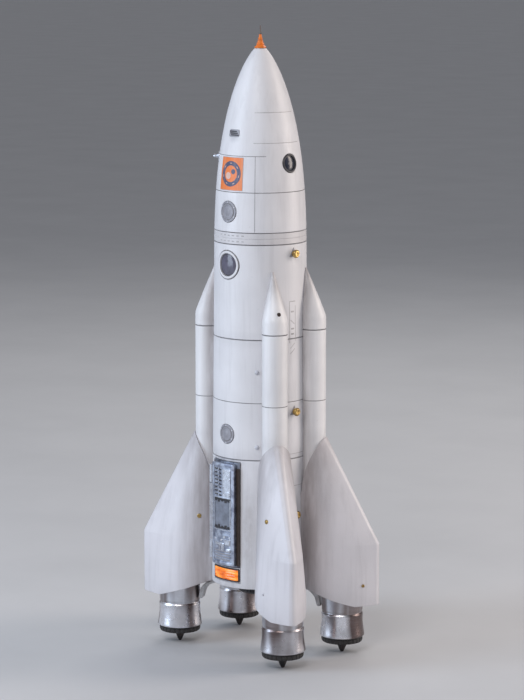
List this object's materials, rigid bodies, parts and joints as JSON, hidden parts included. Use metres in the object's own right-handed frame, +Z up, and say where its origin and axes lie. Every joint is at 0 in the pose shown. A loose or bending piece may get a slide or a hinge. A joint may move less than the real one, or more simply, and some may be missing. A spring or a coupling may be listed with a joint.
{
  "type": "model rocket",
  "caption": "Flying model rocket: tapered core with a lift-off nose, slide-out motor and hinged hatch, with strap-on boosters on finned nozzle pods that it stands on.",
  "frame": {"origin": "on the core's axis at the level of the four spike tips that the rocket stands on", "axes": "+Z up the core to the nose tip; -Y is the side with the hatch, lamp and portholes; +X is the side with the rail buttons"},
  "size_m": [0.1456, 0.089, 0.4241],
  "materials": {
    "white_paint": "satin white enamel",
    "fin_paint": "balsa, filled and painted satin white",
    "band_paint": "satin grey-white enamel",
    "nozzle_metal": "turned and polished",
    "spike_black": "matt black",
    "strut_metal": "cast, satin",
    "cover_grey": "satin grey",
    "porthole_glass": "dark tinted, gloss",
    "window_glass": "smoked grey pane",
    "hatch_steel": "blued and worn",
    "pin_steel": "bright",
    "dark_metal": "satin black",
    "orange_paint": "satin orange",
    "lamp_amber": "clear amber",
    "brass": "turned, worn",
    "tube_card": "spiral-wound card",
    "motor_card": "printed card tube, no text",
    "plywood": "raw birch ply",
    "pack_cloth": "folded ripstop nylon",
    "battery_wrap": "shrink wrap",
    "board_green": "solder mask"
  },
  "bodies": {
    "airframe": {"forward_tube": "white_paint", "mid_tube": "white_paint", "aft_tube": "white_paint", "body_coupler": "tube_card", "forward_centering_ring": "plywood", "aft_centering_ring": "plywood", "motor_mount_tube": "tube_card", "thrust_ring": "tube_card", "main_porthole_ring": "white_paint", "main_porthole_glass": "porthole_glass", "lower_port_cover": "cover_grey", "rail_button_upper": "brass", "rail_button_middle": "brass", "rail_button_lower": "brass", "hatch_frame": "hatch_steel", "hinge_pin": "pin_steel", "lamp_bezel": "dark_metal", "lamp_lens": "lamp_amber", "avionics_sled": "plywood", "battery": "battery_wrap", "circuit_board": "board_green", "booster_nose_front": "white_paint", "booster_tube_front": "white_paint", "fin_fairing_front": "fin_paint", "nozzle_front": "nozzle_metal", "nozzle_spike_front": "spike_black", "nozzle_strut_front": "strut_metal", "booster_nose_right": "white_paint", "booster_tube_right": "white_paint", "fin_fairing_right": "fin_paint", "nozzle_right": "nozzle_metal", "nozzle_spike_right": "spike_black", "nozzle_strut_right": "strut_metal", "booster_nose_rear": "white_paint", "booster_tube_rear": "white_paint", "fin_fairing_rear": "fin_paint", "nozzle_rear": "nozzle_metal", "nozzle_spike_rear": "spike_black", "nozzle_strut_rear": "strut_metal", "booster_nose_left": "white_paint", "booster_tube_left": "white_paint", "fin_fairing_left": "fin_paint", "nozzle_left": "nozzle_metal", "nozzle_spike_left": "spike_black", "nozzle_strut_left": "strut_metal"},
    "nose": {"nose_shell": "white_paint", "separation_band": "band_paint", "nose_shoulder": "tube_card", "nose_bulkhead": "plywood", "parachute_pack": "pack_cloth", "tip_collar": "orange_paint", "tip_needle": "dark_metal", "side_porthole_ring": "dark_metal", "side_porthole_glass": "porthole_glass", "upper_port_cover": "cover_grey", "side_pin": "pin_steel"},
    "motor": {"motor_casing": "motor_card", "motor_retainer": "dark_metal"},
    "hatch": {"hatch_door": "hatch_steel", "door_window": "window_glass"}
  },
  "joints": [
    {"name": "nose_slide", "type": "slide", "parent": "airframe", "child": "nose", "axis": [0, 0, 1], "range_m": [0, 0.06]},
    {"name": "motor_slide", "type": "slide", "parent": "airframe", "child": "motor", "axis": [0, 0, -1], "range_m": [0, 0.037]},
    {"name": "hatch_hinge", "type": "hinge", "parent": "airframe", "child": "hatch", "pos_m": [-0.0134, -0.03279, 0.0979], "axis": [0, 0, -1], "range_deg": [0, 80]}
  ]
}
